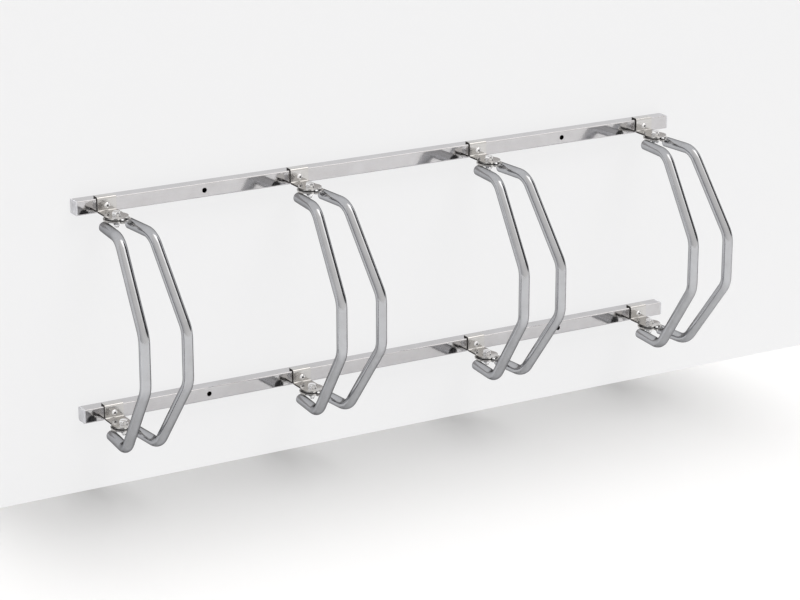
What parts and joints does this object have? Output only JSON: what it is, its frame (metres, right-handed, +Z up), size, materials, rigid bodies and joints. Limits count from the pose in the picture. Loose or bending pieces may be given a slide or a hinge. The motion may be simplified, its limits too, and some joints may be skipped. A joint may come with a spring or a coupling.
{
  "type": "wall-mounted bike rack",
  "caption": "Wall rack of two square steel rails with swivelling bent-tube hoops that each hold a bicycle's wheel between a pair of splayed tubes.",
  "frame": {"origin": "centre of the four wall holes, on the plane of the rails' backs that lies on the wall", "axes": "+X along the rails to the right as one faces the wall, +Y into the wall, +Z up"},
  "size_m": [1.205, 0.2574, 0.4201],
  "materials": {
    "rail_steel": "bright stainless steel with a fine grain along the rail",
    "plate_steel": "bright folded and cut steel plate, lightly brushed",
    "tube_steel": "satin bright steel tube, slightly uneven in the bends",
    "zinc_hardware": "bright zinc-plated fasteners",
    "friction_plastic": "black nylon of the friction washers and pin bushes",
    "cap_plastic": "light grey moulded plastic",
    "plug_plastic": "black moulded plastic"
  },
  "bodies": {
    "wall_frame": {"top_rail": "rail_steel", "bottom_rail": "rail_steel", "top_rail_cap_left": "cap_plastic", "top_rail_cap_right": "cap_plastic", "bottom_rail_cap_left": "cap_plastic", "bottom_rail_cap_right": "cap_plastic", "top_bracket_1": "plate_steel", "top_bracket_2": "plate_steel", "top_bracket_3": "plate_steel", "top_bracket_4": "plate_steel", "bottom_bracket_1": "plate_steel", "bottom_bracket_2": "plate_steel", "bottom_bracket_3": "plate_steel", "bottom_bracket_4": "plate_steel", "bracket_screws": "zinc_hardware", "rivet_nuts": "zinc_hardware", "top_pivot_bolt_1": "zinc_hardware", "top_pivot_bolt_2": "zinc_hardware", "top_pivot_bolt_3": "zinc_hardware", "top_pivot_bolt_4": "zinc_hardware", "bottom_pivot_bolt_1": "zinc_hardware", "bottom_pivot_bolt_2": "zinc_hardware", "bottom_pivot_bolt_3": "zinc_hardware", "bottom_pivot_bolt_4": "zinc_hardware", "bolt_washers": "zinc_hardware", "friction_washers": "friction_plastic", "nut_washers": "zinc_hardware", "lock_nuts": "zinc_hardware"},
    "hoop_1": {"hoop_1_left_tube": "tube_steel", "hoop_1_right_tube": "tube_steel", "hoop_1_top_plate": "plate_steel", "hoop_1_bottom_plate": "plate_steel", "hoop_1_guide_pins": "zinc_hardware", "hoop_1_pin_bushes": "friction_plastic", "hoop_1_tube_plugs": "plug_plastic"},
    "hoop_2": {"hoop_2_left_tube": "tube_steel", "hoop_2_right_tube": "tube_steel", "hoop_2_top_plate": "plate_steel", "hoop_2_bottom_plate": "plate_steel", "hoop_2_guide_pins": "zinc_hardware", "hoop_2_pin_bushes": "friction_plastic", "hoop_2_tube_plugs": "plug_plastic"},
    "hoop_3": {"hoop_3_left_tube": "tube_steel", "hoop_3_right_tube": "tube_steel", "hoop_3_top_plate": "plate_steel", "hoop_3_bottom_plate": "plate_steel", "hoop_3_guide_pins": "zinc_hardware", "hoop_3_pin_bushes": "friction_plastic", "hoop_3_tube_plugs": "plug_plastic"},
    "hoop_4": {"hoop_4_left_tube": "tube_steel", "hoop_4_right_tube": "tube_steel", "hoop_4_top_plate": "plate_steel", "hoop_4_bottom_plate": "plate_steel", "hoop_4_guide_pins": "zinc_hardware", "hoop_4_pin_bushes": "friction_plastic", "hoop_4_tube_plugs": "plug_plastic"}
  },
  "joints": [
    {"name": "swivel_1", "type": "hinge", "parent": "wall_frame", "child": "hoop_1", "pos_m": [-0.5475, -0.065, 0], "axis": [0, 0, 1], "range_deg": [-88, 88]},
    {"name": "swivel_2", "type": "hinge", "parent": "wall_frame", "child": "hoop_2", "pos_m": [-0.1825, -0.065, 0], "axis": [0, 0, 1], "range_deg": [-50, 88]},
    {"name": "swivel_3", "type": "hinge", "parent": "wall_frame", "child": "hoop_3", "pos_m": [0.1825, -0.065, 0], "axis": [0, 0, 1], "range_deg": [-50, 88]},
    {"name": "swivel_4", "type": "hinge", "parent": "wall_frame", "child": "hoop_4", "pos_m": [0.5475, -0.065, 0], "axis": [0, 0, 1], "range_deg": [-50, 88]}
  ]
}
